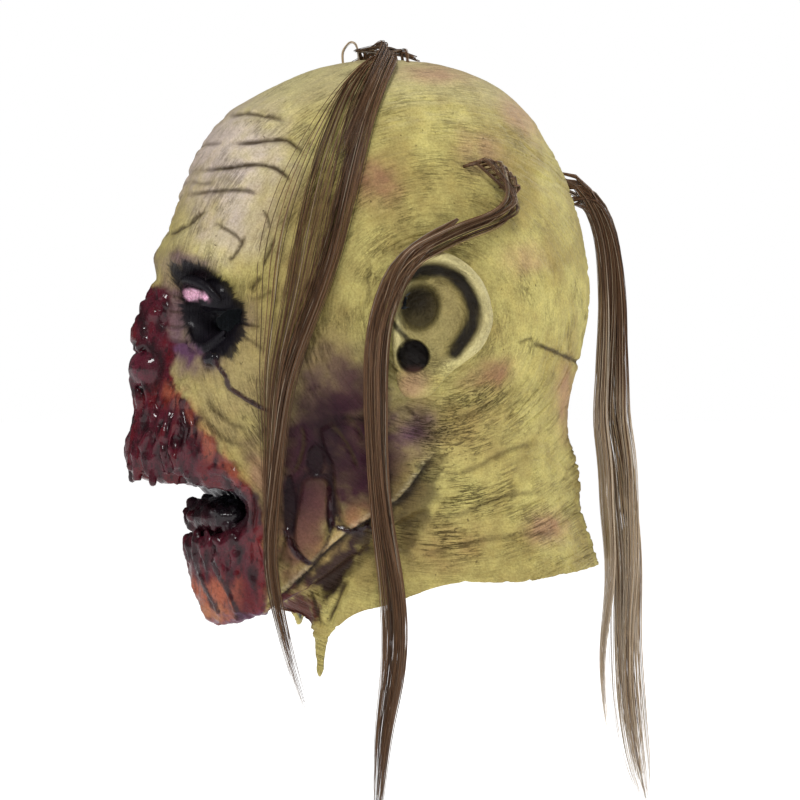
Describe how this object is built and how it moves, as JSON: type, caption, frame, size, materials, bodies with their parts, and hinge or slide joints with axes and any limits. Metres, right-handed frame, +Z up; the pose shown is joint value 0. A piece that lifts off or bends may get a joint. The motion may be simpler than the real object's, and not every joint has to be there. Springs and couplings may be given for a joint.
{
  "type": "zombie mask",
  "caption": "Full-head latex zombie mask with torn mouth and neck, ears, eye holes and thin tufts of coarse hair.",
  "frame": {"origin": "inside of the crown, where the top of the wearer's head carries the mask", "axes": "+Z up, the face looks along -Y, +X towards the wearer's left"},
  "size_m": [0.2172, 0.2913, 0.4124],
  "materials": {
    "latex_skin": "satin latex, painted yellow-green with purple bruises and wet red wounds",
    "coarse_hair": "coarse brown fibre with grey-blond strands"
  },
  "bodies": {
    "root": {"latex_shell": "latex_skin", "hair_crown": "coarse_hair", "hair_side": "coarse_hair", "hair_back": "coarse_hair"}
  },
  "joints": []
}
